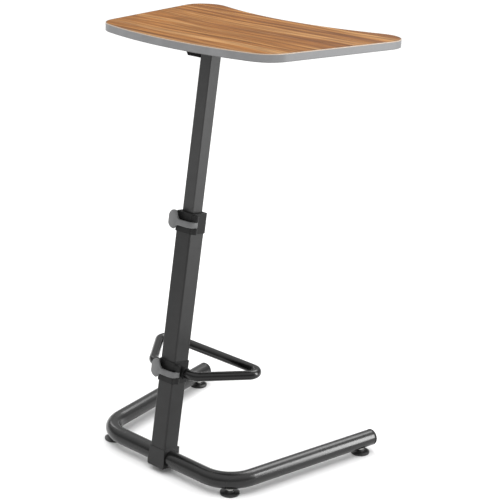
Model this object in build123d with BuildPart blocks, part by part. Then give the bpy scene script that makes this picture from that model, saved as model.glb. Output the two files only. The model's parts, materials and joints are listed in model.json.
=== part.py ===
from build123d import *
from math import cos, radians, sin
import os

# Height-adjustable standing desk, millimetres, +Z up, the user stands on the -Y side.
# The origin is on the floor under the middle of the desk's box.
# A leaning telescopic column carries the work surface. The column stands on a U of bent tube with
# four levelling feet. A tubular footrest slides on the outer column. Two cam levers lock the heights.

# ---------------------------------------------------------------- driving dimensions
DESK_HEIGHT = 1112.0        # floor to work surface, column fully out
COLUMN_FOOT_Y = 231.17      # where the column's axis meets the floor
COLUMN_LEAN = 7.84          # degrees towards the user

# work surface, plan sizes measured from the column's foot
DESK_BACK_Y = COLUMN_FOOT_Y - 40.4      # back corners before rounding
DESK_FRONT_Y = COLUMN_FOOT_Y - 523.8    # front corners before rounding
DESK_BACK_HALF = 280.0
DESK_FRONT_HALF = 366.5
DESK_BACK_BOW = 43.0        # the back edge bows outwards by this
DESK_FRONT_HOLLOW = 91.0    # the front edge is hollowed by this
DESK_BACK_CORNER_R = 75.0
DESK_FRONT_CORNER_R = 62.0
CORE_T = 18.2
LAMINATE_T = 0.8
BACKER_T = 0.8
EDGE_BAND_T = 2.5
EDGE_ROUND = 1.2

# telescopic column, square tubes with s measured up the leaning axis from the floor
OUTER_HALF = 25.0
OUTER_WALL = 2.0
OUTER_CORNER_R = 4.0
OUTER_BOTTOM = 64.0
OUTER_TOP = 676.0
INNER_HALF = 18.0
INNER_WALL = 2.0
INNER_CORNER_R = 3.0
INNER_BOTTOM = 540.0
GUIDE_BUSH_LENGTH = 38.0
GLIDE_LENGTH = 26.0
GLIDE_HOLE = 24.0
SLIDE_GAP = 0.3             # clearance between pieces that slide on each other

# base tube
BASE_TUBE_R = 21.5
BASE_TUBE_WALL = 2.5
BASE_TUBE_Z = 37.0
BASE_CROSS_Y = COLUMN_FOOT_Y - 4.4
BASE_CORNER_HALF = 224.6    # where the cross tube's axis meets a leg's axis
BASE_BEND_R = 88.0
LEG_SPLAY = 9.97            # degrees outwards
LEG_LENGTH = 486.0          # from that corner to the end cap's face
END_CAP_T = 8.0
END_CAP_PLUG = 16.0
END_CAP_WALL = 2.0
END_CAP_ROUND = 3.0

# levelling feet
FOOT_BACK_X = 212.0
FOOT_BACK_Y = COLUMN_FOOT_Y - 30.0
FOOT_FRONT_X = 300.0
FOOT_FRONT_Y = COLUMN_FOOT_Y - 445.5
FOOT_PAD_R = 25.0
FOOT_PAD_H = 11.7
FOOT_SOLE_R = 24.0
FOOT_RIM = (1.5, 5.0)       # the pad's rim is upright between these heights
FOOT_SHOULDER = (20.5, 7.5) # radius and height where the pad's top starts to slope gently
FOOT_NECK = (12.0, 8.5)     # radius and height where it turns up to the neck
FOOT_STEM_R = 4.0
FOOT_STEM_BOTTOM = 3.0
FOOT_STEM_TOP = 36.0
INSERT_R = 7.0
INSERT_FLANGE_R = 10.0
INSERT_BOTTOM = 12.0
INSERT_TOP = 30.0
RUN_FIT = 0.06              # radial clearance of pins and screws that turn
SNUG_FIT = 0.05             # radial clearance of tubes in their seats
CUT = 1.0                   # how far a cut starts outside the face that it enters

# bracket at the column's foot
BRACKET_BACK = 26.0
BRACKET_FRONT = -30.0
BRACKET_BOTTOM = 12.0
BRACKET_TOP_HALF = 25.4
BRACKET_WAIST = (29.5, 24.0)    # half width and height where it is widest
BRACKET_BOTTOM_HALF = 28.5
BRACKET_CORNER_R = 5.0
BRACKET_EDGE_R = 1.2
SPIGOT_HEIGHT = 40.0
SPIGOT_GAP = 0.15
SPIGOT_FLOOR = 12.0
SPIGOT_HOLLOW = 34.0
SPIGOT_CORNER_R = 2.0
BRACKET_BOLT_R = 4.0
BRACKET_BOLT_X = 13.0
BRACKET_BOLT_TOP = 68.0
BOLT_HEAD_R = 6.5
BOLT_HEAD_H = 5.0
BOLT_SPOT_R = 8.0
BOLT_SEAT = 0.6             # depth of the spot face under a bolt's head

# clamp collars and cam levers
COLLAR_HALF = 27.5
COLLAR_CORNER_R = 5.0
COLLAR_EDGE_R = 1.2
UPPER_COLLAR_BOTTOM = 629.0
UPPER_COLLAR_TOP = 681.0
UPPER_LOCK_S = 655.0        # middle of the upper lever
FOOTREST_COLLAR_BOTTOM = 240.0
FOOTREST_COLLAR_TOP = 298.0
FOOTREST_LOCK_S = 269.0
PIVOT_X = -34.0
PIVOT_N = 20.0
PIVOT_PIN_R = 2.5
PIVOT_HEAD_R = 4.2
PIVOT_HEAD_H = 1.5
KNUCKLE_R = 6.5
KNUCKLE_WEB = 7.5           # from the pin's axis into the collar's wall
KNUCKLE_REACH = 23.5        # half the barrel's height
CAM_R = 6.0
CAM_THROW = 0.6             # eccentricity of the cam
CAM_CLEARANCE = 0.2
COLLAR_SCREW_R = 2.0
COLLAR_SCREW_X = 12.0
COLLAR_SCREW_HEAD = 2.2
LEVER_H = 15.0
LEVER_T = 8.0
LEVER_GAP = 0.3             # each side of the lever between the knuckles
LEVER_BEND = (-30.0, 34.5)  # x and n of the bend where the arm leaves the pivot
LEVER_MIDDLE = (5.0, 38.0)  # x and n of the arm's outermost place
LEVER_TIP = (49.0, 31.8)
LEVER_BEND_R = 9.0
LEVER_BOW_R = 60.0
PADDLE_OUT = 46.0           # the paddle's outer end across the column's back
PADDLE_TOP = 28.0           # above and below the arm's middle
PADDLE_BOTTOM = -20.5
NECK_BELOW = (10.0, 16.0)   # x where the paddle's lower edge starts and ends its drop
NECK_ABOVE = (8.0, 14.0)    # and the same for its upper edge's rise
PADDLE_RADII = [4.0, 8.0, 14.0, 17.0, 3.0, 12.0]
PAD_GAP = 0.25              # stands for contact between cam, pad and tube
PAD_N = 19.25               # middle of the brake pad and of its window
PAD_W = 7.5
PAD_H = 15.0
WINDOW_W = 8.1
WINDOW_H = 16.0
SHOE_T = 3.75               # the upper pad's shoe between the two tubes
SHOE_W = 29.0
SHOE_N = 6.5
SHOE_H = 26.0
SHOE_CORNER_R = 3.0
SOCKET_R = 1.5              # hexagon sockets in the small screws, across the flats
SOCKET_DEPTH = 1.3

# footrest loop
FOOTREST_R = 12.0
FOOTREST_WALL = 2.0
FOOTREST_S = 272.5
FOOTREST_START_X = 29.0
FOOTREST_BEND_X = 74.0
FOOTREST_FRONT_X = 192.0
FOOTREST_FRONT_Y = COLUMN_FOOT_Y - 183.0
FOOTREST_BACK_BEND_R = 28.0
FOOTREST_FRONT_BEND_R = 24.0
BOSS_R = 14.0
BOSS_X = 45.0
BOSS_SEAT = 0.5             # free length behind the bar's end in its boss
BAR_SCREW_R = 2.5
BAR_SCREW_X = 38.0
BAR_SCREW_HEAD = 2.5

# plate and wings under the work surface
PLATE_T = 4.0
PLATE_HALF_X = 92.0
PLATE_BACK_Y = COLUMN_FOOT_Y - 104.0
PLATE_FRONT_Y = COLUMN_FOOT_Y - 344.0
PLATE_CORNER_R = 14.0
WING_BACK_Y = COLUMN_FOOT_Y - 126.8
WING_T = 6.0
WING_DROPS = ((1, 37.2), (-1, 22.0))    # side of the column and depth of its wing
WING_BOTTOM_X = 60.0
WING_TOP_X = 82.0
WOOD_SCREW_R = 2.5
WOOD_SCREW_HEAD_R = 5.0
WOOD_SCREW_HEAD = 2.6
RECESS_W = 1.1              # cross recess in the wood screws
RECESS_L = 5.0
RECESS_DEPTH = 1.2
WOOD_SCREW_DEPTH = 13.0     # into the work surface
WOOD_SCREW_X = 76.0
WOOD_SCREW_PITCH = 106.0

# ---------------------------------------------------------------- worked-out values
LEAN = radians(COLUMN_LEAN)
CORE_TOP = DESK_HEIGHT - LAMINATE_T
CORE_BOTTOM = CORE_TOP - CORE_T
DESK_BOTTOM = CORE_BOTTOM - BACKER_T
PLATE_BOTTOM = DESK_BOTTOM - PLATE_T

# x across, y = n out of the column's back face, z = s up the column
column = Plane(origin=(0, COLUMN_FOOT_Y, 0), x_dir=(1, 0, 0), z_dir=(0, -sin(LEAN), cos(LEAN)))
# faces the user: x across, y = s up the column, normal = -n
across = Plane(origin=column.origin, x_dir=(1, 0, 0), z_dir=column.y_dir * -1)
# looks along +X: x = n, y = s
side = Plane(origin=column.origin, x_dir=column.y_dir, z_dir=(1, 0, 0))

leg_dir = Vector(sin(radians(LEG_SPLAY)), -cos(radians(LEG_SPLAY)), 0)


def leg_point(distance, hand):
    """Point on a leg's axis, measured from the sharp corner; hand is +1 at +X and -1 at -X."""
    x = BASE_CORNER_HALF + leg_dir.X * distance
    return Vector(hand * x, BASE_CROSS_Y + leg_dir.Y * distance, BASE_TUBE_Z)


foot_places = [
    (FOOT_BACK_X, FOOT_BACK_Y),
    (-FOOT_BACK_X, FOOT_BACK_Y),
    (-FOOT_FRONT_X, FOOT_FRONT_Y),
    (FOOT_FRONT_X, FOOT_FRONT_Y),
]

bolt_places = [(BRACKET_BOLT_X, BASE_CROSS_Y), (-BRACKET_BOLT_X, BASE_CROSS_Y)]


def square_ring(bottom, top, outer, outer_r, inner, inner_r):
    """Square tube around the column's axis, from s = bottom to s = top."""
    with BuildPart() as ring:
        with BuildSketch(column.offset(bottom)):
            RectangleRounded(2 * outer, 2 * outer, outer_r)
            RectangleRounded(2 * inner, 2 * inner, inner_r, mode=Mode.SUBTRACT)
        extrude(amount=top - bottom)
    return ring.part


pieces = {}


def finish(name, part):
    """Label a finished piece and keep it for export."""
    part.label = name
    pieces[name] = part


# ---------------------------------------------------------------- base tube, caps and feet
tube_end = LEG_LENGTH - END_CAP_T
with BuildPart() as base_tube:
    with BuildLine() as base_run:
        FilletPolyline(
            leg_point(tube_end, -1),
            leg_point(0, -1),
            leg_point(0, 1),
            leg_point(tube_end, 1),
            radius=BASE_BEND_R,
        )
    with BuildSketch(Plane(origin=base_run.line @ 0, z_dir=base_run.line % 0)):
        Circle(BASE_TUBE_R)
        Circle(BASE_TUBE_R - BASE_TUBE_WALL, mode=Mode.SUBTRACT)
    sweep()
    with BuildSketch(Plane.XY):
        with Locations(*foot_places):
            Circle(INSERT_R)
    extrude(amount=BASE_TUBE_Z, mode=Mode.SUBTRACT)
    with BuildSketch(Plane.XY):
        with Locations(*bolt_places):
            Circle(BRACKET_BOLT_R)
    extrude(amount=2 * BASE_TUBE_Z, mode=Mode.SUBTRACT)
finish("base_tube", base_tube.part)

for hand, name in ((1, "base_end_cap_left"), (-1, "base_end_cap_right")):
    outwards = Vector(hand * leg_dir.X, leg_dir.Y, 0)
    cap_plane = Plane(origin=leg_point(tube_end, hand), z_dir=outwards)
    with BuildPart() as cap:
        with BuildSketch(cap_plane):
            Circle(BASE_TUBE_R)
        extrude(amount=END_CAP_T)
        fillet(cap.faces().sort_by(Axis(cap_plane.origin, outwards))[-1].edges(), radius=END_CAP_ROUND)
        with BuildSketch(cap_plane):
            Circle(BASE_TUBE_R - BASE_TUBE_WALL)
            Circle(BASE_TUBE_R - BASE_TUBE_WALL - END_CAP_WALL, mode=Mode.SUBTRACT)
        extrude(amount=-END_CAP_PLUG)
    finish(name, cap.part)

with BuildPart() as foot_inserts:
    with BuildSketch(Plane.XY.offset(INSERT_BOTTOM)):
        with Locations(*foot_places):
            Circle(INSERT_FLANGE_R)
    extrude(amount=BASE_TUBE_Z - BASE_TUBE_R - INSERT_BOTTOM)
    with BuildSketch(Plane.XY.offset(INSERT_BOTTOM)):
        with Locations(*foot_places):
            Circle(INSERT_R)
    extrude(amount=INSERT_TOP - INSERT_BOTTOM)
    with BuildSketch(Plane.XY.offset(INSERT_BOTTOM)):
        with Locations(*foot_places):
            Circle(FOOT_STEM_R + RUN_FIT)
    extrude(amount=INSERT_TOP - INSERT_BOTTOM, mode=Mode.SUBTRACT)
finish("foot_inserts", foot_inserts.part)

for number, (foot_x, foot_y) in enumerate(foot_places, start=1):
    foot_plane = Plane(origin=(foot_x, foot_y, 0), x_dir=(1, 0, 0), z_dir=(0, -1, 0))
    with BuildPart() as pad:
        with BuildSketch(foot_plane):
            with BuildLine():
                Polyline(
                    (0, 0),
                    (FOOT_SOLE_R, 0),
                    (FOOT_PAD_R, FOOT_RIM[0]),
                    (FOOT_PAD_R, FOOT_RIM[1]),
                    FOOT_SHOULDER,
                    FOOT_NECK,
                    (INSERT_FLANGE_R, FOOT_PAD_H),
                    (0, FOOT_PAD_H),
                    close=True,
                )
            make_face()
        revolve(axis=Axis((foot_x, foot_y, 0), (0, 0, 1)))
        with BuildSketch(Plane.XY.offset(FOOT_STEM_BOTTOM)):
            with Locations((foot_x, foot_y)):
                Circle(FOOT_STEM_R)
        extrude(amount=FOOT_PAD_H, mode=Mode.SUBTRACT)
    finish(f"foot_pad_{number}", pad.part)
    with BuildPart() as stem:
        with BuildSketch(Plane.XY.offset(FOOT_STEM_BOTTOM)):
            with Locations((foot_x, foot_y)):
                Circle(FOOT_STEM_R)
        extrude(amount=FOOT_STEM_TOP - FOOT_STEM_BOTTOM)
        chamfer(stem.faces().sort_by(Axis.Z)[-1].edges(), length=1.0)
    finish(f"foot_stem_{number}", stem.part)

# ---------------------------------------------------------------- bracket at the column's foot
bolt_seat_z = BRACKET_BOTTOM + BOLT_SEAT
waist_half, waist_z = BRACKET_WAIST

with BuildPart() as column_foot_bracket:
    with BuildSketch(across.offset(-BRACKET_BACK)) as bracket_back:
        with BuildLine():
            Polyline(
                (-BRACKET_TOP_HALF, OUTER_BOTTOM),
                (BRACKET_TOP_HALF, OUTER_BOTTOM),
                (waist_half, waist_z),
                (BRACKET_BOTTOM_HALF, BRACKET_BOTTOM),
                (-BRACKET_BOTTOM_HALF, BRACKET_BOTTOM),
                (-waist_half, waist_z),
                close=True,
            )
        make_face()
        fillet(bracket_back.vertices().group_by(Axis.Y)[0], radius=BRACKET_CORNER_R)
    extrude(amount=BRACKET_BACK - BRACKET_FRONT)
    ends = column_foot_bracket.faces().sort_by(Axis(across.origin, across.z_dir))
    fillet(ends[0].edges() + ends[-1].edges(), radius=BRACKET_EDGE_R)
    with BuildSketch(column.offset(OUTER_BOTTOM)):
        spigot = 2 * (OUTER_HALF - OUTER_WALL - SPIGOT_GAP)
        RectangleRounded(spigot, spigot, SPIGOT_CORNER_R)
    extrude(amount=SPIGOT_HEIGHT)
    with BuildSketch(column.offset(OUTER_BOTTOM + SPIGOT_FLOOR)):
        RectangleRounded(SPIGOT_HOLLOW, SPIGOT_HOLLOW, SPIGOT_CORNER_R)
    extrude(amount=SPIGOT_HEIGHT, mode=Mode.SUBTRACT)
    with BuildSketch(Plane.YZ.offset(-waist_half - CUT)):
        with Locations((BASE_CROSS_Y, BASE_TUBE_Z)):
            Circle(BASE_TUBE_R + SNUG_FIT)
    extrude(amount=2 * (waist_half + CUT), mode=Mode.SUBTRACT)
    with BuildSketch(Plane.XY):
        with Locations(*bolt_places):
            Circle(BRACKET_BOLT_R)
    extrude(amount=BRACKET_BOLT_TOP + CUT, mode=Mode.SUBTRACT)
    with BuildSketch(Plane.XY):
        with Locations(*bolt_places):
            Circle(BOLT_SPOT_R)
    extrude(amount=bolt_seat_z, mode=Mode.SUBTRACT)
finish("column_foot_bracket", column_foot_bracket.part)

with BuildPart() as foot_bracket_bolts:
    with BuildSketch(Plane.XY.offset(bolt_seat_z - BOLT_HEAD_H)):
        with Locations(*bolt_places):
            RegularPolygon(radius=BOLT_HEAD_R, side_count=6, major_radius=False)
    extrude(amount=BOLT_HEAD_H)
    with BuildSketch(Plane.XY.offset(bolt_seat_z)):
        with Locations(*bolt_places):
            Circle(BRACKET_BOLT_R)
    extrude(amount=BRACKET_BOLT_TOP - bolt_seat_z)
finish("foot_bracket_bolts", foot_bracket_bolts.part)

# ---------------------------------------------------------------- outer column
with BuildPart() as outer_column:
    add(
        square_ring(
            OUTER_BOTTOM,
            OUTER_TOP,
            OUTER_HALF,
            OUTER_CORNER_R,
            OUTER_HALF - OUTER_WALL,
            OUTER_CORNER_R - OUTER_WALL,
        )
    )
    with BuildSketch(side.offset(-OUTER_HALF - CUT)):
        with Locations((PAD_N, UPPER_LOCK_S)):
            Rectangle(WINDOW_W, WINDOW_H)
    extrude(amount=OUTER_WALL + 2 * CUT, mode=Mode.SUBTRACT)
finish("outer_column", outer_column.part)

bush_bottom = INNER_BOTTOM + SLIDE_GAP
column_guide_bush = square_ring(
    bush_bottom,
    bush_bottom + GUIDE_BUSH_LENGTH,
    OUTER_HALF - OUTER_WALL,
    OUTER_CORNER_R - OUTER_WALL,
    INNER_HALF + SLIDE_GAP,
    INNER_CORNER_R,
)
finish("column_guide_bush", column_guide_bush)


# ---------------------------------------------------------------- clamp collars
def collar_body(bottom, top, middle, bore):
    """Square collar with two hinge knuckles on its -X side and a window for the brake pad."""
    with BuildPart() as body:
        with BuildSketch(column.offset(bottom)):
            RectangleRounded(2 * COLLAR_HALF, 2 * COLLAR_HALF, COLLAR_CORNER_R)
        extrude(amount=top - bottom)
        fillet(body.faces().sort_by(Axis.Z)[-1].edges(), radius=COLLAR_EDGE_R)
        fillet(body.faces().sort_by(Axis.Z)[0].edges(), radius=COLLAR_EDGE_R)
        barrel = KNUCKLE_REACH - LEVER_H / 2 - LEVER_GAP
        for low in (middle - KNUCKLE_REACH, middle + LEVER_H / 2 + LEVER_GAP):
            with BuildSketch(column.offset(low)):
                with Locations((PIVOT_X, PIVOT_N)):
                    Circle(KNUCKLE_R)
                with Locations((PIVOT_X, PIVOT_N)):
                    Rectangle(KNUCKLE_WEB, 2 * KNUCKLE_R, align=(Align.MIN, Align.CENTER))
            extrude(amount=barrel)
        with BuildSketch(column.offset(bottom)):
            RectangleRounded(2 * bore, 2 * bore, OUTER_CORNER_R)
        extrude(amount=top - bottom, mode=Mode.SUBTRACT)
        with BuildSketch(column.offset(bottom)):
            with Locations((PIVOT_X, PIVOT_N)):
                Circle(PIVOT_PIN_R)
        extrude(amount=top - bottom, mode=Mode.SUBTRACT)
        with BuildSketch(side.offset(-COLLAR_HALF - CUT)):
            with Locations((PAD_N, middle)):
                Rectangle(WINDOW_W, WINDOW_H)
        extrude(amount=COLLAR_HALF - bore + 2 * CUT, mode=Mode.SUBTRACT)
    return body.part


collar_screw_places = [(COLLAR_SCREW_X, UPPER_LOCK_S), (-COLLAR_SCREW_X, UPPER_LOCK_S)]


def lever_pin(middle):
    """Hinge pin through both knuckles, with a flat head on top."""
    with BuildPart() as pin:
        with BuildSketch(column.offset(middle - KNUCKLE_REACH)):
            with Locations((PIVOT_X, PIVOT_N)):
                Circle(PIVOT_PIN_R)
        extrude(amount=2 * KNUCKLE_REACH)
        with BuildSketch(column.offset(middle + KNUCKLE_REACH)):
            with Locations((PIVOT_X, PIVOT_N)):
                Circle(PIVOT_HEAD_R)
        extrude(amount=PIVOT_HEAD_H)
        fillet(pin.faces().sort_by(Axis.Z)[-1].edges(), radius=0.6 * PIVOT_HEAD_H)
    return pin.part


def cam_lever(middle):
    """Cam lever: eccentric eye on the pin, an arm round the collar's back and a lopsided paddle."""
    low = middle - LEVER_H / 2
    high = middle + LEVER_H / 2
    with BuildPart() as lever:
        with BuildSketch(across.offset(-2 * COLLAR_HALF)):
            with BuildLine():
                FilletPolyline(
                    (PIVOT_X, low),
                    (NECK_BELOW[0], low),
                    (NECK_BELOW[1], middle + PADDLE_BOTTOM),
                    (PADDLE_OUT, middle + PADDLE_BOTTOM),
                    (PADDLE_OUT, middle + PADDLE_TOP),
                    (NECK_ABOVE[1], middle + PADDLE_TOP),
                    (NECK_ABOVE[0], high),
                    (PIVOT_X, high),
                    radius=PADDLE_RADII,
                )
                Line((PIVOT_X, high), (PIVOT_X, low))
            make_face()
        extrude(amount=2 * COLLAR_HALF - PIVOT_N)
        with BuildSketch(column.offset(middle + PADDLE_BOTTOM - CUT)):
            with BuildLine():
                FilletPolyline(
                    (PIVOT_X, PIVOT_N),
                    LEVER_BEND,
                    LEVER_MIDDLE,
                    LEVER_TIP,
                    radius=[LEVER_BEND_R, LEVER_BOW_R],
                )
            trace(line_width=LEVER_T)
        extrude(amount=PADDLE_TOP - PADDLE_BOTTOM + 2 * CUT, mode=Mode.INTERSECT)
        with BuildSketch(column.offset(low)):
            with Locations((PIVOT_X + CAM_THROW, PIVOT_N)):
                Circle(CAM_R)
        extrude(amount=LEVER_H)
        with BuildSketch(column.offset(low)):
            with Locations((PIVOT_X, PIVOT_N)):
                Circle(PIVOT_PIN_R + RUN_FIT)
        extrude(amount=LEVER_H, mode=Mode.SUBTRACT)
    return lever.part


# the pads' outer faces, just clear of the closed cam
pad_face_x = PIVOT_X + CAM_THROW + CAM_R + PAD_GAP

# upper collar: the bore stops under a lip that covers the outer tube's end
with BuildPart() as upper_collar:
    add(collar_body(UPPER_COLLAR_BOTTOM, UPPER_COLLAR_TOP, UPPER_LOCK_S, OUTER_HALF + SNUG_FIT))
    add(
        square_ring(
            OUTER_TOP,
            UPPER_COLLAR_TOP - COLLAR_EDGE_R,
            OUTER_HALF + SLIDE_GAP,
            OUTER_CORNER_R,
            INNER_HALF + SLIDE_GAP,
            INNER_CORNER_R,
        )
    )
    with BuildSketch(across.offset(OUTER_HALF)):
        with Locations(*collar_screw_places):
            Circle(COLLAR_SCREW_R)
    extrude(amount=COLLAR_HALF, mode=Mode.SUBTRACT)
finish("upper_collar", upper_collar.part)
finish("upper_lever_pin", lever_pin(UPPER_LOCK_S))
finish("upper_cam_lever", cam_lever(UPPER_LOCK_S))

with BuildPart() as upper_collar_screws:
    with BuildSketch(across.offset(OUTER_HALF)):
        with Locations(*collar_screw_places):
            Circle(COLLAR_SCREW_R)
    extrude(amount=COLLAR_HALF - OUTER_HALF)
    with BuildSketch(across.offset(COLLAR_HALF)):
        with Locations(*collar_screw_places):
            Circle(2 * COLLAR_SCREW_R)
    extrude(amount=COLLAR_SCREW_HEAD)
    to_user = Axis(across.origin, across.z_dir)
    heads = upper_collar_screws.faces().sort_by(to_user)[-2:]
    fillet(heads.edges(), radius=0.5 * COLLAR_SCREW_HEAD)
    with BuildSketch(across.offset(COLLAR_HALF + COLLAR_SCREW_HEAD - SOCKET_DEPTH)):
        with Locations(*collar_screw_places):
            RegularPolygon(radius=SOCKET_R, side_count=6, major_radius=False)
    extrude(amount=COLLAR_SCREW_HEAD, mode=Mode.SUBTRACT)
finish("upper_collar_screws", upper_collar_screws.part)

# a stud through both windows carries a wide shoe that bears on the inner tube
with BuildPart() as upper_brake_pad:
    shoe_face_x = -INNER_HALF - PAD_GAP
    with BuildSketch(side.offset(pad_face_x)):
        with Locations((PAD_N, UPPER_LOCK_S)):
            Rectangle(PAD_W, PAD_H)
    extrude(amount=shoe_face_x - SHOE_T - pad_face_x)
    with BuildSketch(side.offset(shoe_face_x - SHOE_T)):
        with Locations((SHOE_N, UPPER_LOCK_S)):
            RectangleRounded(SHOE_W, SHOE_H, SHOE_CORNER_R)
    extrude(amount=SHOE_T)
finish("upper_brake_pad", upper_brake_pad.part)

# ---------------------------------------------------------------- inner column
with BuildPart() as inner_column:
    add(
        square_ring(
            INNER_BOTTOM,
            DESK_HEIGHT + 2 * INNER_HALF,
            INNER_HALF,
            INNER_CORNER_R,
            INNER_HALF - INNER_WALL,
            INNER_CORNER_R - INNER_WALL,
        )
    )
    split(bisect_by=Plane.XY.offset(PLATE_BOTTOM), keep=Keep.BOTTOM)
finish("inner_column", inner_column.part)

with BuildPart() as column_glide_plug:
    glide_half = OUTER_HALF - OUTER_WALL - SLIDE_GAP
    with BuildSketch(column.offset(INNER_BOTTOM - GLIDE_LENGTH)):
        RectangleRounded(2 * glide_half, 2 * glide_half, OUTER_CORNER_R - OUTER_WALL)
    extrude(amount=GLIDE_LENGTH)
    with BuildSketch(column.offset(INNER_BOTTOM)):
        spigot_side = 2 * (INNER_HALF - INNER_WALL)
        RectangleRounded(spigot_side, spigot_side, INNER_CORNER_R - INNER_WALL)
    extrude(amount=GLIDE_LENGTH)
    with BuildSketch(column.offset(INNER_BOTTOM - GLIDE_LENGTH)):
        Rectangle(GLIDE_HOLE, GLIDE_HOLE)
    extrude(amount=2 * GLIDE_LENGTH, mode=Mode.SUBTRACT)
finish("column_glide_plug", column_glide_plug.part)

# ---------------------------------------------------------------- plate and wings under the top
plate_mid_y = (PLATE_BACK_Y + PLATE_FRONT_Y) / 2
plate_length = PLATE_BACK_Y - PLATE_FRONT_Y
screw_places = [
    (screw_x, plate_mid_y + screw_y)
    for screw_x in (-WOOD_SCREW_X, WOOD_SCREW_X)
    for screw_y in (-WOOD_SCREW_PITCH, 0.0, WOOD_SCREW_PITCH)
]

with BuildPart() as top_plate:
    with BuildSketch(Plane.XY.offset(PLATE_BOTTOM)):
        with Locations((0, plate_mid_y)):
            RectangleRounded(2 * PLATE_HALF_X, plate_length, PLATE_CORNER_R)
        with Locations(*screw_places):
            Circle(WOOD_SCREW_R, mode=Mode.SUBTRACT)
    extrude(amount=PLATE_T)
finish("top_plate", top_plate.part)

with BuildPart() as top_gussets:
    wing_plane = Plane(origin=(0, WING_BACK_Y, 0), x_dir=(1, 0, 0), z_dir=(0, -1, 0))
    for hand, drop in WING_DROPS:
        with BuildSketch(wing_plane):
            with BuildLine():
                Polyline(
                    (hand * INNER_HALF, PLATE_BOTTOM),
                    (hand * WING_TOP_X, PLATE_BOTTOM),
                    (hand * WING_BOTTOM_X, PLATE_BOTTOM - drop),
                    (hand * INNER_HALF, PLATE_BOTTOM - drop),
                    close=True,
                )
            make_face()
        extrude(amount=WING_T)
finish("top_gussets", top_gussets.part)

with BuildPart() as top_plate_screws:
    with BuildSketch(Plane.XY.offset(PLATE_BOTTOM - WOOD_SCREW_HEAD)):
        with Locations(*screw_places):
            Circle(WOOD_SCREW_HEAD_R)
    extrude(amount=WOOD_SCREW_HEAD)
    fillet(top_plate_screws.faces().group_by(Axis.Z)[0].edges(), radius=0.6 * WOOD_SCREW_HEAD)
    with BuildSketch(Plane.XY.offset(PLATE_BOTTOM - WOOD_SCREW_HEAD)):
        with Locations(*screw_places):
            Rectangle(RECESS_L, RECESS_W)
            Rectangle(RECESS_W, RECESS_L)
    extrude(amount=RECESS_DEPTH, mode=Mode.SUBTRACT)
    with BuildSketch(Plane.XY.offset(PLATE_BOTTOM)):
        with Locations(*screw_places):
            Circle(WOOD_SCREW_R)
    extrude(amount=PLATE_T + WOOD_SCREW_DEPTH)
finish("top_plate_screws", top_plate_screws.part)


# ---------------------------------------------------------------- work surface
def desktop_outline(height, inset):
    """Bowed back, splayed sides, hollow front and rounded corners, moved in by inset."""
    back_left = (DESK_BACK_HALF, DESK_BACK_Y)
    back_right = (-DESK_BACK_HALF, DESK_BACK_Y)
    front_left = (DESK_FRONT_HALF, DESK_FRONT_Y)
    front_right = (-DESK_FRONT_HALF, DESK_FRONT_Y)
    with BuildSketch(Plane.XY.offset(height)) as outline:
        with BuildLine():
            ThreePointArc(back_right, (0, DESK_BACK_Y + DESK_BACK_BOW), back_left)
            Line(back_left, front_left)
            ThreePointArc(front_left, (0, DESK_FRONT_Y + DESK_FRONT_HOLLOW), front_right)
            Line(front_right, back_right)
        make_face()
        fillet(outline.vertices().group_by(Axis.Y)[-1], radius=DESK_BACK_CORNER_R)
        fillet(outline.vertices().group_by(Axis.Y)[0], radius=DESK_FRONT_CORNER_R)
        if inset > 0:
            offset(amount=-inset, mode=Mode.REPLACE)
    return outline.sketch


def desktop_layer(bottom, thickness):
    """One layer of the board inside the edge band, drilled for the screws where it meets them."""
    with BuildPart() as layer:
        extrude(desktop_outline(bottom, EDGE_BAND_T), amount=thickness)
        with BuildSketch(Plane.XY.offset(DESK_BOTTOM)):
            with Locations(*screw_places):
                Circle(WOOD_SCREW_R)
        extrude(amount=WOOD_SCREW_DEPTH, mode=Mode.SUBTRACT)
    return layer.part


finish("desktop_backer", desktop_layer(DESK_BOTTOM, BACKER_T))
finish("desktop_core", desktop_layer(CORE_BOTTOM, CORE_T))

with BuildPart() as desktop_laminate:
    extrude(desktop_outline(CORE_TOP, EDGE_BAND_T), amount=LAMINATE_T)
finish("desktop_laminate", desktop_laminate.part)

with BuildPart() as desktop_edge_band:
    extrude(desktop_outline(DESK_BOTTOM, 0.0), amount=DESK_HEIGHT - DESK_BOTTOM)
    fillet(desktop_edge_band.faces().sort_by(Axis.Z)[-1].edges(), radius=EDGE_ROUND)
    fillet(desktop_edge_band.faces().sort_by(Axis.Z)[0].edges(), radius=EDGE_ROUND)
    extrude(
        desktop_outline(DESK_BOTTOM, EDGE_BAND_T),
        amount=DESK_HEIGHT - DESK_BOTTOM,
        mode=Mode.SUBTRACT,
    )
finish("desktop_edge_band", desktop_edge_band.part)

# ---------------------------------------------------------------- footrest
footrest_y = COLUMN_FOOT_Y - FOOTREST_S * sin(LEAN)
footrest_z = FOOTREST_S * cos(LEAN)

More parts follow.
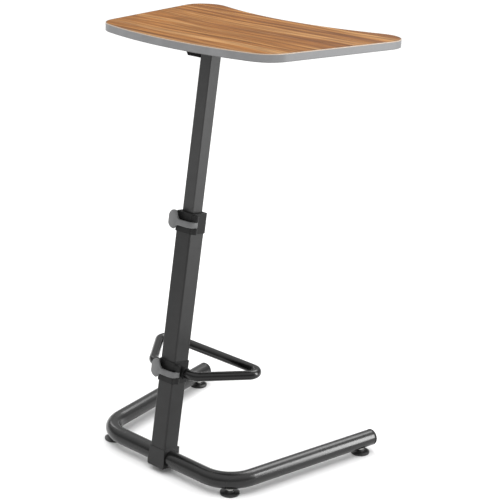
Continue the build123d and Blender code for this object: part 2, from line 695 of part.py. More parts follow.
with BuildPart() as footrest_collar:
    add(
        collar_body(
            FOOTREST_COLLAR_BOTTOM,
            FOOTREST_COLLAR_TOP,
            FOOTREST_LOCK_S,
            OUTER_HALF + SLIDE_GAP,
        )
    )
    for hand in (1, -1):
        with BuildSketch(Plane.YZ.offset(hand * (COLLAR_HALF - CUT))):
            with Locations((footrest_y, footrest_z)):
                Circle(BOSS_R)
        extrude(amount=hand * (BOSS_X - COLLAR_HALF + CUT))
        with BuildSketch(Plane.YZ.offset(hand * (FOOTREST_START_X - BOSS_SEAT))):
            with Locations((footrest_y, footrest_z)):
                Circle(FOOTREST_R + SNUG_FIT)
        extrude(amount=hand * BOSS_X, mode=Mode.SUBTRACT)
        with BuildSketch(Plane.XY.offset(footrest_z - BOSS_R - CUT)):
            with Locations((hand * BAR_SCREW_X, footrest_y)):
                Circle(BAR_SCREW_R)
        extrude(amount=BOSS_R - FOOTREST_R + CUT, mode=Mode.SUBTRACT)
    with BuildSketch(column.offset(FOOTREST_LOCK_S - LEVER_H / 2 - LEVER_GAP)):
        with Locations((PIVOT_X, PIVOT_N)):
            Circle(CAM_R + CAM_THROW + CAM_CLEARANCE)
    extrude(amount=LEVER_H + 2 * LEVER_GAP, mode=Mode.SUBTRACT)
finish("footrest_collar", footrest_collar.part)
finish("footrest_lever_pin", lever_pin(FOOTREST_LOCK_S))
finish("footrest_cam_lever", cam_lever(FOOTREST_LOCK_S))

with BuildPart() as footrest_brake_pad:
    with BuildSketch(side.offset(pad_face_x)):
        with Locations((PAD_N, FOOTREST_LOCK_S)):
            Rectangle(PAD_W, PAD_H)
    extrude(amount=-OUTER_HALF - PAD_GAP - pad_face_x)
finish("footrest_brake_pad", footrest_brake_pad.part)

with BuildPart() as footrest_bar:
    with BuildLine() as loop:
        FilletPolyline(
            (-FOOTREST_START_X, footrest_y, footrest_z),
            (-FOOTREST_BEND_X, footrest_y, footrest_z),
            (-FOOTREST_FRONT_X, FOOTREST_FRONT_Y, footrest_z),
            (FOOTREST_FRONT_X, FOOTREST_FRONT_Y, footrest_z),
            (FOOTREST_BEND_X, footrest_y, footrest_z),
            (FOOTREST_START_X, footrest_y, footrest_z),
            radius=[
                FOOTREST_BACK_BEND_R,
                FOOTREST_FRONT_BEND_R,
                FOOTREST_FRONT_BEND_R,
                FOOTREST_BACK_BEND_R,
            ],
        )
    with BuildSketch(Plane(origin=loop.line @ 0, z_dir=loop.line % 0)):
        Circle(FOOTREST_R)
        Circle(FOOTREST_R - FOOTREST_WALL, mode=Mode.SUBTRACT)
    sweep()
finish("footrest_bar", footrest_bar.part)

with BuildPart() as footrest_bar_screws:
    bar_screw_places = [(BAR_SCREW_X, footrest_y), (-BAR_SCREW_X, footrest_y)]
    with BuildSketch(Plane.XY.offset(footrest_z - FOOTREST_R)):
        with Locations(*bar_screw_places):
            Circle(BAR_SCREW_R)
    extrude(amount=FOOTREST_R - BOSS_R)
    with BuildSketch(Plane.XY.offset(footrest_z - BOSS_R)):
        with Locations(*bar_screw_places):
            Circle(2 * BAR_SCREW_R)
    extrude(amount=-BAR_SCREW_HEAD)
    fillet(footrest_bar_screws.faces().group_by(Axis.Z)[0].edges(), radius=0.5 * BAR_SCREW_HEAD)
    with BuildSketch(Plane.XY.offset(footrest_z - BOSS_R - BAR_SCREW_HEAD)):
        with Locations(*bar_screw_places):
            RegularPolygon(radius=SOCKET_R, side_count=6, major_radius=False)
    extrude(amount=SOCKET_DEPTH, mode=Mode.SUBTRACT)
finish("footrest_bar_screws", footrest_bar_screws.part)

# ---------------------------------------------------------------- export
os.makedirs("parts", exist_ok=True)
for name, part in pieces.items():
    export_step(part, f"parts/{name}.step")
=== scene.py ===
import json
import math

import bmesh
import bpy
from mathutils import Matrix, Vector


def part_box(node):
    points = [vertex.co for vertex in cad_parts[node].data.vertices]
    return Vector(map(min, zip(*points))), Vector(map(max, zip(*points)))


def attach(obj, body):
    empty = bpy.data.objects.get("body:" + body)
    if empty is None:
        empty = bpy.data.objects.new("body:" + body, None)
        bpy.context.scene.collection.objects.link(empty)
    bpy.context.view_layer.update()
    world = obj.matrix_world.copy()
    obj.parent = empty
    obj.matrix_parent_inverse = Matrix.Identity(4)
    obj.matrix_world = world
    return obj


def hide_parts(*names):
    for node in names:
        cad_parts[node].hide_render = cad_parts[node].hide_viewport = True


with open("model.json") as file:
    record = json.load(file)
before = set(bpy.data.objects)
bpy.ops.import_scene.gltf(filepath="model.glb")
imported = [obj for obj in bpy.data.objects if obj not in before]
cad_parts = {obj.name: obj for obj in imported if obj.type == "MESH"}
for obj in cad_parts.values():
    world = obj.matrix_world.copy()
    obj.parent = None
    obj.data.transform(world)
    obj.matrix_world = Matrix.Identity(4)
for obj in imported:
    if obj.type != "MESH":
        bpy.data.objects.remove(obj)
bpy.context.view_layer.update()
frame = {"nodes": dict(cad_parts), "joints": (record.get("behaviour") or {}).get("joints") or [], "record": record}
nodes = frame["nodes"]

# ---------------------------------------------------------------- camera, in metres and degrees
CAMERA_PLACE = (-2.2997, 2.5211, 1.6897)
CAMERA_AZIMUTH = 221.46
CAMERA_DOWN = 18.55
CAMERA_ROLL = 2.09
SENSOR_WIDTH = 36.0
LENS = 100.823

# ---------------------------------------------------------------- surroundings
FLOOR_HALF = 40.0
SKY_STRENGTH = 1.50
# sine of the height above the horizon, and brightness there: a white backdrop under a bright ceiling
SKY_STOPS = [(0.0, 0.68), (0.10, 0.66), (0.19, 0.15), (0.80, 1.0)]

# softboxes: name, place, what they face, width, height, watts and the group that they light
SOFTBOXES = [
    ("right_softbox", (-2.68, -1.74, 1.25), (0.0, 0.1, 0.6), 0.7, 2.4, 46.0, "desk"),
    ("front_top_softbox", (0.3, -2.2, 2.9), (0.0, 0.1, 0.3), 1.6, 1.2, 34.0, "desk"),
    ("left_softbox", (3.2, -0.6, 2.0), (0.0, 0.1, 0.3), 0.5, 1.4, 8.0, "desk"),
    ("floor_wash", (0.0, 0.0, 4.0), (0.0, 0.0, 0.0), 5.0, 5.0, 112.0, "floor"),
    ("right_strip", (-2.68, -1.74, 1.25), (0.0, 0.1, 0.2), 1.1, 2.2, 66.0, "steel"),
    ("front_strip", (0.3, -2.2, 2.9), (0.0, 0.1, 0.3), 1.4, 0.35, 26.0, "steel"),
]
STRIP_LIT = ["base_tube", "footrest_bar", "outer_column", "column_foot_bracket"]

# ---------------------------------------------------------------- cam levers
EYE_CENTRE = (-0.0334, 0.020)    # x across and n out of the column's back
EYE_R = 0.0060
EYE_HOLE_R = 0.0027
EYE_RIM_R = 0.0008
EYE_STEPS = 40
ARM_HALF_H = 0.0075
ARM_HALF_T = 0.0036
ARM_EDGE_R = 0.0026
CORNER_STEPS = 5                 # along each rounded corner of the lever's section
PADDLE_HALF_T = 0.0028
PADDLE_TOP = 0.0280              # above and below the arm's middle
PADDLE_BOTTOM = -0.0203
PADDLE_TIP = 0.0455
PADDLE_END_FROM = 0.022          # where the rounding of the paddle's outer end starts
PADDLE_END_POWER = 2.4           # 2 would be an ellipse
RISE_FROM, RISE_OVER, RISE_POWER = 0.001, 0.0165, 2.3    # the upper edge's climb to the paddle
SINK_FROM, SINK_OVER = 0.007, 0.016                      # the lower edge's drop
THIN_OVER = 0.020                # from the arm's thickness to the paddle's
TIP_LEAST_H = 0.0016
TIP_LEAST_T = 0.02               # square of the last section's share of the thickness
LINE_STEPS = 9                   # from each point of the line below to the next
SHARP_FROM = 35.0                # degrees between faces
# the arm's middle line: x across and n out of the column's back
ARM_LINE = [
    (-0.0350, 0.0170),
    (-0.0352, 0.0250),
    (-0.0325, 0.0325),
    (-0.0240, 0.0364),
    (-0.0100, 0.0377),
    (0.0060, 0.0382),
    (0.0240, 0.0370),
    (0.0455, 0.0328),
]

# ---------------------------------------------------------------- the lean of the column, as the CAD has it
COLUMN_LEAN = math.radians(7.84)
COLUMN_FOOT = Vector((0.0, 0.23117, 0.0))
UP_COLUMN = Vector((0.0, -math.sin(COLUMN_LEAN), math.cos(COLUMN_LEAN)))
OUT_OF_BACK = Vector((0.0, math.cos(COLUMN_LEAN), math.sin(COLUMN_LEAN)))


def on_column(x, n, s):
    """A point at x across, n out of the column's back and s up its leaning axis."""
    return COLUMN_FOOT + Vector((x, 0.0, 0.0)) + OUT_OF_BACK * n + UP_COLUMN * s


# ================================================================ node helpers
NOISE_BAND = (0.3, 0.7)          # nearly all of a noise texture lies between these
EDGE_BAND = (0.995, 0.90)        # cosine between true and rounded normal, off and on an edge
BEVEL_SAMPLES = 4
# where a colour Mix node keeps its sockets, whose names it shares with other kinds of mixing
MIX_FACTOR, MIX_FIRST, MIX_SECOND, MIX_RESULT = 0, 6, 7, 2


class Paint:
    """A node material under construction: its tree, its shader and short ways to add nodes."""

    def __init__(self, name, colour, roughness, metallic=0.0, specular=0.5):
        self.material = bpy.data.materials.new(name)
        self.material.use_nodes = True
        self.material.diffuse_color = (*colour, 1.0)
        self.tree = self.material.node_tree
        self.shader = self.tree.nodes["Principled BSDF"]
        self.set("Base Color", (*colour, 1.0))
        self.set("Roughness", roughness)
        self.set("Metallic", metallic)
        self.set("Specular IOR Level", specular)
        self.coordinates = self.node("ShaderNodeTexCoord").outputs["Object"]

    def set(self, socket, value):
        self.shader.inputs[socket].default_value = value

    def node(self, kind, **settings):
        made = self.tree.nodes.new(kind)
        for key, value in settings.items():
            setattr(made, key, value)
        return made

    def link(self, output, socket):
        self.tree.links.new(output, socket)

    def feed(self, value, socket):
        """Sets a socket to a number or a colour, or links another node's output to it."""
        if isinstance(value, (int, float)):
            socket.default_value = value
        elif isinstance(value, tuple):
            socket.default_value = (*value, 1.0)
        else:
            self.link(value, socket)

    def stretched(self, scale, where=None):
        """Coordinates, the object's own unless others are given, scaled along each axis."""
        mapping = self.node("ShaderNodeMapping")
        mapping.inputs["Scale"].default_value = scale
        self.link(where or self.coordinates, mapping.inputs["Vector"])
        return mapping.outputs["Vector"]

    def noise(self, scale, detail=2.0, rough=0.5, where=None, distortion=0.0):
        texture = self.node("ShaderNodeTexNoise")
        texture.inputs["Scale"].default_value = scale
        texture.inputs["Detail"].default_value = detail
        texture.inputs["Roughness"].default_value = rough
        texture.inputs["Distortion"].default_value = distortion
        self.link(where or self.coordinates, texture.inputs["Vector"])
        return texture.outputs["Fac"]

    def ramp(self, factor, stops):
        """A colour ramp through (position, colour) stops."""
        ramp = self.node("ShaderNodeValToRGB")
        fill_ramp(ramp, stops)
        self.link(factor, ramp.inputs["Fac"])
        return ramp.outputs["Color"]

    def between(self, noise, dark, light, band=NOISE_BAND):
        """A colour that a noise carries from dark to light."""
        return self.ramp(noise, [(band[0], dark), (band[1], light)])

    def spread(self, value, low, high, to_low=0.0, to_high=1.0):
        """Maps low..high onto to_low..to_high, clamped."""
        span = self.node("ShaderNodeMapRange")
        span.inputs["From Min"].default_value = low
        span.inputs["From Max"].default_value = high
        span.inputs["To Min"].default_value = to_low
        span.inputs["To Max"].default_value = to_high
        self.link(value, span.inputs["Value"])
        return span.outputs["Result"]

    def multiply(self, first, second):
        made = self.node("ShaderNodeMath", operation="MULTIPLY")
        self.feed(first, made.inputs[0])
        self.feed(second, made.inputs[1])
        return made.outputs["Value"]

    def mix(self, factor, first, second, blend="MIX"):
        """Mixes two colours, given as sockets or as plain colours."""
        made = self.node("ShaderNodeMix", data_type="RGBA", blend_type=blend)
        self.feed(first, made.inputs[MIX_FIRST])
        self.feed(second, made.inputs[MIX_SECOND])
        self.feed(factor, made.inputs[MIX_FACTOR])
        return made.outputs[MIX_RESULT]

    def rounded(self, radius):
        """The normal over edges that are rounded for the light alone."""
        bevel = self.node("ShaderNodeBevel", samples=BEVEL_SAMPLES)
        bevel.inputs["Radius"].default_value = radius
        return bevel.outputs["Normal"]

    def edges(self, radius):
        """1 along sharp edges and 0 away from them."""
        dot = self.node("ShaderNodeVectorMath", operation="DOT_PRODUCT")
        self.link(self.rounded(radius), dot.inputs[0])
        self.link(self.node("ShaderNodeNewGeometry").outputs["Normal"], dot.inputs[1])
        return self.spread(dot.outputs["Value"], *EDGE_BAND)

    def height(self):
        """The point's height above the floor at rest."""
        split = self.node("ShaderNodeSeparateXYZ")
        self.link(self.coordinates, split.inputs["Vector"])
        return split.outputs["Z"]

    def colour(self, socket):
        self.link(socket, self.shader.inputs["Base Color"])

    def roughness(self, noise, low, high):
        """Roughness that a noise carries from low to high."""
        self.link(self.spread(noise, *NOISE_BAND, low, high), self.shader.inputs["Roughness"])

    def bump(self, height, distance, strength, rounding=0.0):
        """Bump of a height in metres, over rounded edges where a rounding is given."""
        made = self.node("ShaderNodeBump")
        made.inputs["Strength"].default_value = strength
        made.inputs["Distance"].default_value = distance
        self.link(height, made.inputs["Height"])
        if rounding:
            self.link(self.rounded(rounding), made.inputs["Normal"])
        self.link(made.outputs["Normal"], self.shader.inputs["Normal"])


def fill_ramp(ramp, stops):
    """Gives a colour ramp node its (position, colour) stops."""
    elements = ramp.color_ramp.elements
    while len(elements) < len(stops):
        elements.new(0.5)
    for element, (position, colour) in zip(elements, stops):
        element.position = position
        element.color = (*colour, 1.0)


def grey(level):
    return (level, level, level)


# ================================================================ materials
def powder_coat(name, dark, light, gloss, coat, specular=0.42):
    """Baked powder paint: tiny orange peel, a little mottling, a clear gloss on top."""
    paint = Paint(name, dark, gloss, specular=specular)
    mottle = paint.noise(scale=38.0, detail=4.0, rough=0.6)
    paint.colour(paint.between(mottle, dark, light, band=(0.32, 0.68)))
    smear = paint.noise(scale=9.0, detail=3.0, rough=0.55)
    paint.roughness(smear, gloss - 0.035, gloss + 0.045)
    peel = paint.noise(scale=900.0, detail=2.0, rough=0.45)
    paint.bump(peel, distance=0.00007, strength=0.55, rounding=0.0009)
    paint.set("Coat Weight", coat)
    paint.set("Coat Roughness", 0.16)
    return paint.material


def moulded_plastic(name, dark, light, gloss, grain, wear=(0.05, 0.05, 0.05), specular=0.5):
    """Moulded plastic: fine spark-eroded grain, scuffed lighter along its edges."""
    paint = Paint(name, dark, gloss, specular=specular)
    cloud = paint.noise(scale=55.0, detail=4.0, rough=0.6)
    body = paint.between(cloud, dark, light)
    rims = paint.edges(radius=0.0012)
    patches = paint.spread(paint.noise(scale=260.0, detail=3.0), 0.38, 0.62)
    scuff = paint.multiply(rims, patches)
    paint.colour(paint.mix(paint.multiply(scuff, 0.5), body, wear))
    paint.roughness(cloud, gloss - 0.05, gloss + 0.06)
    skin = paint.noise(scale=grain, detail=3.0, rough=0.6)
    paint.bump(skin, distance=0.00009, strength=0.5, rounding=0.0008)
    return paint.material


def bare_steel(name, colour, gloss):
    """Zinc-plated or turned steel with fine cross marks."""
    paint = Paint(name, colour, gloss, metallic=1.0)
    marks = paint.noise(1.0, detail=3.0, rough=0.6, where=paint.stretched((160.0, 160.0, 1900.0)))
    shade = tuple(0.72 * part for part in colour)
    paint.colour(paint.between(marks, shade, colour))
    paint.roughness(marks, gloss - 0.06, gloss + 0.1)
    paint.bump(marks, distance=0.00003, strength=0.4, rounding=0.0004)
    return paint.material


def wood_laminate(name):
    """Printed teak-coloured laminate: long figure along X, darker veins, fine pores, satin finish."""
    paint = Paint(name, (0.31, 0.13, 0.035), 0.5, specular=0.06)
    # the slow wander that keeps the grain from running dead straight
    wander = paint.noise(1.0, where=paint.stretched((1.6, 4.0, 1.0)))
    bend = paint.node("ShaderNodeCombineXYZ")
    paint.link(paint.spread(wander, 0.0, 1.0, -0.045, 0.045), bend.inputs["Y"])
    shifted = paint.node("ShaderNodeVectorMath", operation="ADD")
    paint.link(paint.coordinates, shifted.inputs[0])
    paint.link(bend.outputs["Vector"], shifted.inputs[1])

    def grain(scale, detail, rough, distortion=0.0):
        """Noise drawn out along X, with its features per metre along each axis."""
        where = paint.stretched(scale, shifted.outputs["Vector"])
        return paint.noise(1.0, detail, rough, where, distortion)

    tone = grain((1.3, 9.0, 1.0), detail=2.0, rough=0.5)
    figure = grain((1.5, 36.0, 1.0), detail=3.0, rough=0.55, distortion=0.15)
    vein = grain((1.3, 33.0, 1.0), detail=3.0, rough=0.6, distortion=0.2)
    streak = grain((1.4, 31.0, 4.0), detail=2.0, rough=0.5, distortion=0.2)
    fleck = grain((7.0, 130.0, 1.0), detail=3.0, rough=0.6, distortion=0.15)
    fibre = grain((22.0, 700.0, 1.0), detail=3.0, rough=0.7)
    base = paint.ramp(
        figure,
        [
            (0.38, (0.185, 0.065, 0.014)),
            (0.47, (0.275, 0.108, 0.024)),
            (0.53, (0.325, 0.137, 0.034)),
            (0.62, (0.430, 0.202, 0.062)),
        ],
    )
    toned = paint.mix(paint.spread(tone, 0.40, 0.60, 0.0, 0.55), base, (0.300, 0.113, 0.022))
    light = paint.mix(paint.spread(streak, 0.54, 0.66, 0.0, 0.80), toned, (0.500, 0.262, 0.096))
    veined = paint.mix(paint.spread(vein, 0.55, 0.66, 0.0, 0.72), light, (0.135, 0.046, 0.010))
    # a darker, greyer line where the sheet meets its edging
    rim = paint.multiply(paint.edges(radius=0.006), 0.55)
    rimmed = paint.mix(rim, veined, (0.125, 0.080, 0.048))
    pores = paint.spread(fibre, 0.35, 0.75, 0.84, 1.10)
    fine = paint.multiply(pores, paint.spread(fleck, 0.38, 0.62, 0.74, 1.20))
    shade = paint.node("ShaderNodeCombineColor")
    for socket in ("Red", "Green", "Blue"):
        paint.link(fine, shade.inputs[socket])
    paint.colour(paint.mix(1.0, rimmed, shade.outputs["Color"], blend="MULTIPLY"))
    paint.roughness(figure, 0.46, 0.56)
    paint.bump(fibre, distance=0.00004, strength=0.35)
    return paint.material


def edge_band(name, bottom, top):
    """Grey edging strip with a painted highlight in pale cream along its upper rounding and a dark lower edge."""
    paint = Paint(name, (0.20, 0.20, 0.204), 0.42)
    cloud = paint.noise(scale=20.0, detail=4.0, rough=0.6)
    body = paint.between(cloud, (0.182, 0.183, 0.186), (0.216, 0.217, 0.221))
    height = paint.height()
    # painted highlight: a pale cream band along the edging's upper rounding
    painted_highlight = paint.spread(height, top - 0.0021, top - 0.0011)
    crown = paint.spread(height, top - 0.00010, top - 0.00002)
    under = paint.spread(height, bottom + 0.0020, bottom + 0.0008)
    shaded = paint.mix(under, body, (0.085, 0.083, 0.082))
    highlighted = paint.mix(painted_highlight, shaded, (0.560, 0.440, 0.335))
    paint.colour(paint.mix(crown, highlighted, (0.105, 0.078, 0.058)))
    paint.roughness(cloud, 0.38, 0.48)
    skin = paint.noise(scale=1400.0)
    paint.bump(skin, distance=0.00005, strength=0.4)
    return paint.material


def particle_board(name):
    """Pressed chips, seen only at screw holes and cut edges."""
    paint = Paint(name, (0.42, 0.29, 0.17), 0.8)
    chips = paint.node("ShaderNodeTexVoronoi", feature="F1")
    chips.inputs["Scale"].default_value = 420.0
    paint.link(paint.stretched((1.0, 1.0, 2.5)), chips.inputs["Vector"])
    tint = chips.outputs["Color"]
    paint.colour(paint.between(tint, (0.30, 0.19, 0.10), (0.55, 0.41, 0.26), band=(0.2, 0.8)))
    paint.bump(chips.outputs["Distance"], distance=0.0003, strength=0.5)
    return paint.material


def backer_sheet(name):
    """Phenolic backing sheet under the board: charcoal with a paper mottle."""
    paint = Paint(name, (0.055, 0.052, 0.050), 0.6)
    mottle = paint.noise(scale=120.0, detail=5.0, rough=0.65)
    paint.colour(paint.between(mottle, (0.040, 0.038, 0.036), (0.075, 0.071, 0.068)))
    paint.roughness(mottle, 0.52, 0.70)
    paint.bump(mottle, distance=0.00006, strength=0.5)
    return paint.material


board_low, board_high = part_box("desktop_edge_band")
finishes = {
    "charcoal_powder_coat": powder_coat(
        "charcoal_powder_coat", grey(0.006), grey(0.009), gloss=0.36, coat=0.0, specular=0.36
    ),
    "black_powder_coat": powder_coat(
        "black_powder_coat", grey(0.002), grey(0.004), gloss=0.20, coat=0.15, specular=0.26
    ),
    "black_plastic": moulded_plastic(
        "black_plastic", grey(0.003), grey(0.006), gloss=0.55, grain=1500.0, wear=grey(0.02), specular=0.30
    ),
    "foot_plastic": moulded_plastic(
        "foot_plastic", grey(0.009), grey(0.014), gloss=0.36, grain=1300.0
    ),
    "lever_grey": moulded_plastic(
        "lever_grey", (0.098, 0.099, 0.100), (0.132, 0.133, 0.134), gloss=0.40, grain=1400.0, wear=grey(0.25)
    ),
    "nylon": moulded_plastic(
        "nylon", (0.60, 0.59, 0.55), (0.70, 0.69, 0.65), gloss=0.45, grain=900.0, wear=(0.72, 0.71, 0.68)
    ),
    "brake_rubber": moulded_plastic(
        "brake_rubber", (0.016, 0.015, 0.015), (0.024, 0.023, 0.022), gloss=0.72, grain=700.0
    ),
    "zinc_steel": bare_steel("zinc_steel", (0.62, 0.62, 0.60), gloss=0.32),
    "black_steel": bare_steel("black_steel", (0.060, 0.060, 0.062), gloss=0.38),
    "particle_board": particle_board("particle_board"),
    "wood_laminate": wood_laminate("wood_laminate"),
    "backer_sheet": backer_sheet("backer_sheet"),
    "edge_grey": edge_band("edge_grey", board_low.z, board_high.z),
}
# shinier or duller batches of the same paints; shaded_black is painted shade, a darker and duller copy of the
# black paint for the parts in the desktop's shade
glossy_tube = powder_coat("glossy_tube", grey(0.004), grey(0.007), gloss=0.27, coat=0.20, specular=0.32)
satin_tube = powder_coat("satin_tube", grey(0.014), grey(0.019), gloss=0.34, coat=0.0, specular=0.50)
shaded_black = powder_coat("shaded_black", grey(0.002), grey(0.003), gloss=0.60, coat=0.0, specular=0.10)
own_finishes = {
    "base_tube": glossy_tube,
    "inner_column": satin_tube,
    "top_plate": shaded_black,
    "top_gussets": shaded_black,
}

# every other CAD node gets the finish of its own material slot
slot_of = {entry["node"]: entry["material_slot"] for entry in frame["record"]["subparts"]}
for node_name, node in nodes.items():
    slot_finish = finishes[slot_of[node_name]]
    node.data.materials.clear()
    node.data.materials.append(own_finishes.get(node_name, slot_finish))


# ================================================================ moulded cam levers
def clamp(value):
    return min(max(value, 0.0), 1.0)


def smooth_line(points, steps):
    """Points along a Catmull-Rom curve through the given ones."""
    first, last = Vector(points[0]), Vector(points[-1])
    ends = [2 * first - Vector(points[1]), *map(Vector, points), 2 * last - Vector(points[-2])]
    line = []
    for a, b, c, d in zip(ends, ends[1:], ends[2:], ends[3:]):
        for step in range(steps):
            t = step / steps
            square = (2 * a - 5 * b + 4 * c - d) * t ** 2
            cube = (3 * b - a - 3 * c + d) * t ** 3
            line.append(0.5 * (2 * b + (c - a) * t + square + cube))
    return [*line, last]


def paddle_edges(x):
    """Lower and upper edge of the lever at x across the column, from the arm's middle."""
    rise = clamp((x - RISE_FROM) / RISE_OVER) ** RISE_POWER
    sink = clamp((x - SINK_FROM) / SINK_OVER)
    sink = sink * sink * (3 - 2 * sink)
    top = ARM_HALF_H + (PADDLE_TOP - ARM_HALF_H) * rise
    bottom = -ARM_HALF_H + (PADDLE_BOTTOM + ARM_HALF_H) * sink
    past = clamp((x - PADDLE_END_FROM) / (PADDLE_TIP - PADDLE_END_FROM))
    shrink = (1.0 - past ** PADDLE_END_POWER) ** (1 / PADDLE_END_POWER)
    bottom *= shrink
    top *= shrink
    return bottom, max(top, bottom + TIP_LEAST_H)


def lever_half_thickness(x):
    """Thinner from the arm to the paddle, and round at the paddle's end."""
    full = ARM_HALF_T + (PADDLE_HALF_T - ARM_HALF_T) * clamp(x / THIN_OVER)
    from_tip = max(x - (PADDLE_TIP - full), 0.0) / full
    return full * math.sqrt(max(1.0 - from_tip ** 2, TIP_LEAST_T))


def rounded_section(half_width, low, high, radius):
    """A closed rectangle with round corners: (across, along) points."""
    radius = min(radius, half_width, (high - low) / 2)
    ring = []
    for corner, (side, level) in enumerate([(1, high), (-1, high), (-1, low), (1, low)]):
        centre_across = side * (half_width - radius)
        centre_along = level - radius if level == high else level + radius
        for step in range(CORNER_STEPS + 1):
            angle = math.radians(90 * (corner + step / CORNER_STEPS))
            across = centre_across + radius * math.cos(angle)
            ring.append((across, centre_along + radius * math.sin(angle)))
    return ring


def loft(mesh, rings):
    """Skins closed rings of equal length and caps both ends."""
    rows = [[mesh.verts.new(point) for point in ring] for ring in rings]
    count = len(rows[0])
    for row, following in zip(rows, rows[1:]):
        for index in range(count):
            after = (index + 1) % count
            mesh.faces.new((row[index], row[after], following[after], following[index]))
    mesh.faces.new(rows[0][::-1])
    mesh.faces.new(rows[-1])


def add_eye(mesh, low, high):
    """The lever's eye: a ring round the hinge pin with rounded rims, as one closed skin."""
    rim = EYE_RIM_R
    bite = 0.3 * rim             # how far a quarter round stands inside its corner
    profile = [
        (EYE_HOLE_R, low + rim),
        (EYE_HOLE_R + rim, low),
        (EYE_R - rim, low),
        (EYE_R - bite, low + bite),
        (EYE_R, low + rim),
        (EYE_R, high - rim),
        (EYE_R - bite, high - bite),
        (EYE_R - rim, high),
        (EYE_HOLE_R + rim, high),
        (EYE_HOLE_R, high - rim),
    ]
    centre_x, centre_n = EYE_CENTRE
    rows = []
    for step in range(EYE_STEPS):
        angle = 2 * math.pi * step / EYE_STEPS
        row = []
        for r, s in profile:
            place = on_column(centre_x + r * math.cos(angle), centre_n + r * math.sin(angle), s)
            row.append(mesh.verts.new(place))
        rows.append(row)
    for row, following in zip(rows, rows[1:] + rows[:1]):
        for index in range(len(profile)):
            after = (index + 1) % len(profile)
            mesh.faces.new((row[index], following[index], following[after], row[after]))


def new_piece(name, mesh, finish, body):
    """Turns a bmesh into a piece that rides on a body, smooth but for its sharp edges."""
    bmesh.ops.recalc_face_normals(mesh, faces=mesh.faces)
    data = bpy.data.meshes.new(name)
    mesh.to_mesh(data)
    mesh.free()
    data.shade_smooth()
    data.set_sharp_from_angle(angle=math.radians(SHARP_FROM))
    data.materials.append(finish)
    piece = bpy.data.objects.new(name, data)
    bpy.context.scene.collection.objects.link(piece)
    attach(piece, body)
    return piece


def add_lever(name, node_name, body):
    """A moulded lever in place of the CAD's plain one, at the height of its hinge."""
    hinge = next(joint for joint in frame["joints"] if joint["child"] == body)
    lock = (Vector(hinge["pos_m"]) - COLUMN_FOOT).dot(UP_COLUMN)
    line = smooth_line(ARM_LINE, LINE_STEPS)
    rings = []
    for index, point in enumerate(line):
        before = line[max(index - 1, 0)]
        after = line[min(index + 1, len(line) - 1)]
        along = (after - before).normalized()
        outwards = Vector((-along.y, along.x))
        bottom, top = paddle_edges(point.x)
        ring = []
        for across, height in rounded_section(lever_half_thickness(point.x), bottom, top, ARM_EDGE_R):
            place = point + outwards * across
            ring.append(on_column(place.x, place.y, lock + height))
        rings.append(ring)
    mesh = bmesh.new()
    loft(mesh, rings)
    add_eye(mesh, lock - ARM_HALF_H, lock + ARM_HALF_H)
    piece = new_piece(name, mesh, finishes["lever_grey"], body)
    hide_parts(node_name)


add_lever("upper_lever_moulding", "upper_cam_lever", "upper_lever")
add_lever("footrest_lever_moulding", "footrest_cam_lever", "footrest_lever")


# ================================================================ stage
def add_floor():
    """A wide, plain pale floor."""
    mesh = bpy.data.meshes.new("floor")
    signs = [(-1, -1), (1, -1), (1, 1), (-1, 1)]
    corners = [(x * FLOOR_HALF, y * FLOOR_HALF, 0.0) for x, y in signs]
    mesh.from_pydata(corners, [], [(0, 1, 2, 3)])
    floor = bpy.data.objects.new("floor", mesh)
    bpy.context.scene.collection.objects.link(floor)
    paint = Paint("pale_floor", grey(0.93), 0.75, specular=0.2)
    haze = paint.noise(scale=1.4)
    paint.colour(paint.between(haze, grey(0.925), grey(0.94)))
    mesh.materials.append(paint.material)
    return floor


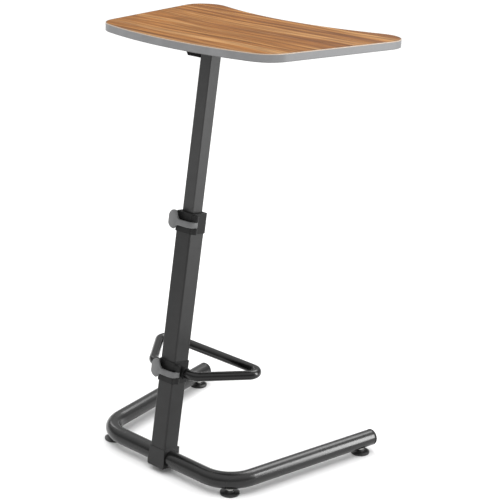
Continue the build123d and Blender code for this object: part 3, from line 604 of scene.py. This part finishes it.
def add_sky():
    """Soft white surroundings: bright overhead, with a white backdrop low down behind the floor."""
    world = bpy.data.worlds.new("studio")
    bpy.context.scene.world = world
    world.use_nodes = True
    tree = world.node_tree
    background = tree.nodes["Background"]
    coordinates = tree.nodes.new("ShaderNodeTexCoord")
    split = tree.nodes.new("ShaderNodeSeparateXYZ")
    ramp = tree.nodes.new("ShaderNodeValToRGB")
    fill_ramp(ramp, [(position, grey(level)) for position, level in SKY_STOPS])
    tree.links.new(coordinates.outputs["Generated"], split.inputs["Vector"])
    tree.links.new(split.outputs["Z"], ramp.inputs["Fac"])
    tree.links.new(ramp.outputs["Color"], background.inputs["Color"])
    background.inputs["Strength"].default_value = SKY_STRENGTH


def light_group(name, members, state="INCLUDE"):
    """The pieces that a lamp lights alone, or with EXCLUDE the ones that it leaves out."""
    group = bpy.data.collections.new(name)
    for piece in members:
        group.objects.link(piece)
    for entry in group.collection_objects:
        entry.light_linking.link_state = state
    return group


def add_lights(floor):
    """Softboxes. The desk's leave the floor out, so that its shadows stay close to the feet."""
    groups = {
        "desk": light_group("all_but_floor", [floor], "EXCLUDE"),
        "floor": light_group("floor_only", [floor]),
        "steel": light_group("steel_only", [nodes[name] for name in STRIP_LIT]),
    }
    for name, place, target, width, height, power, group in SOFTBOXES:
        light = bpy.data.lights.new(name, "AREA")
        light.shape = "RECTANGLE"
        light.size = width
        light.size_y = height
        light.energy = power
        lamp = bpy.data.objects.new(name, light)
        lamp.location = place
        facing = Vector(target) - Vector(place)
        lamp.rotation_euler = facing.to_track_quat("-Z", "Y").to_euler()
        bpy.context.scene.collection.objects.link(lamp)
        lamp.light_linking.receiver_collection = groups[group]


def add_camera():
    azimuth = math.radians(CAMERA_AZIMUTH)
    down = math.radians(CAMERA_DOWN)
    roll = math.radians(CAMERA_ROLL)
    back_x = math.sin(azimuth) * math.cos(down)
    back_y = -math.cos(azimuth) * math.cos(down)
    back = Vector((back_x, back_y, math.sin(down)))
    level = back.cross(Vector((0.0, 0.0, -1.0))).normalized()
    upright = back.cross(level)
    right = level * math.cos(roll) + upright * math.sin(roll)
    up = upright * math.cos(roll) - level * math.sin(roll)
    data = bpy.data.cameras.new("camera")
    data.sensor_width = SENSOR_WIDTH
    data.lens = LENS
    camera = bpy.data.objects.new("camera", data)
    turn = Matrix((right, up, back)).transposed().to_4x4()
    camera.matrix_world = Matrix.Translation(CAMERA_PLACE) @ turn
    bpy.context.scene.collection.objects.link(camera)
    bpy.context.scene.camera = camera


studio_floor = add_floor()
add_sky()
add_lights(studio_floor)
add_camera()
bpy.context.scene.view_settings.view_transform = "Standard"
